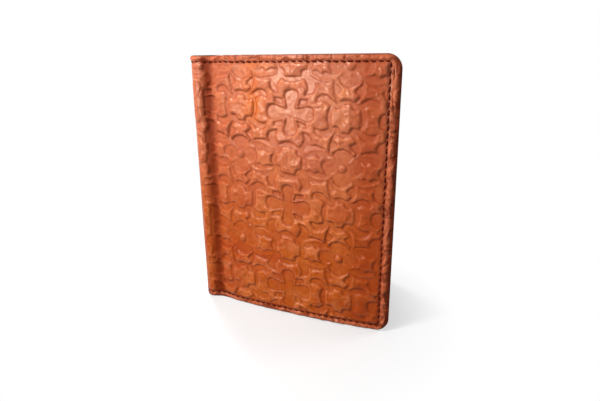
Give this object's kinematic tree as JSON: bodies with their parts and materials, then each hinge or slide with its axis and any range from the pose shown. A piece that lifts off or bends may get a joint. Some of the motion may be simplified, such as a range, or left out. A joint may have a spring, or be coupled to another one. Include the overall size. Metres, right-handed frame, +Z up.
{
  "type": "travel document holder",
  "caption": "Embossed leather folder for a passport, with two stiffened covers that fold about a rounded spine, document sleeves, a ticket pocket and stepped card slots.",
  "frame": {"origin": "centre of the overall box on the surface that the holder stands on", "axes": "+Z up along the spine, +X from the spine towards the fore-edges, -Y towards the front cover and +Y towards the back cover, with the holder symmetric about the XZ plane on its outside"},
  "size_m": [0.1098, 0.0648, 0.14],
  "materials": {
    "tan_leather": "embossed, satin",
    "pocket_leather": "smooth, satin",
    "lining_cloth": "matt woven",
    "board": "matt",
    "thread": "waxed thread"
  },
  "bodies": {
    "spine": {"spine_leather": "tan_leather", "spine_reinforcement": "board", "spine_lining": "lining_cloth", "spine_stitching_foot": "thread", "spine_stitching_head": "thread"},
    "front_cover": {"front_cover_leather": "tan_leather", "front_cover_board": "board", "front_cover_lining": "lining_cloth", "front_document_sleeve": "pocket_leather", "front_ticket_pocket": "pocket_leather", "front_ticket_pocket_stitching": "thread", "front_cover_stitching": "thread"},
    "back_cover": {"back_cover_leather": "tan_leather", "back_cover_board": "board", "back_cover_lining": "lining_cloth", "back_document_sleeve": "pocket_leather", "back_card_slot_lower": "pocket_leather", "back_card_slot_middle": "pocket_leather", "back_card_slot_upper": "pocket_leather", "back_card_slot_lower_stitching": "thread", "back_card_slot_middle_stitching": "thread", "back_card_slot_upper_stitching": "thread", "back_cover_stitching": "thread"}
  },
  "joints": [
    {"name": "front_fold", "type": "hinge", "parent": "spine", "child": "front_cover", "pos_m": [-0.04315, -0.0048, 0], "axis": [0, 0, -1], "range_deg": [-14, 75]},
    {"name": "back_fold", "type": "hinge", "parent": "spine", "child": "back_cover", "pos_m": [-0.04315, 0.0048, 0], "axis": [0, 0, 1], "range_deg": [-14, 75]}
  ]
}
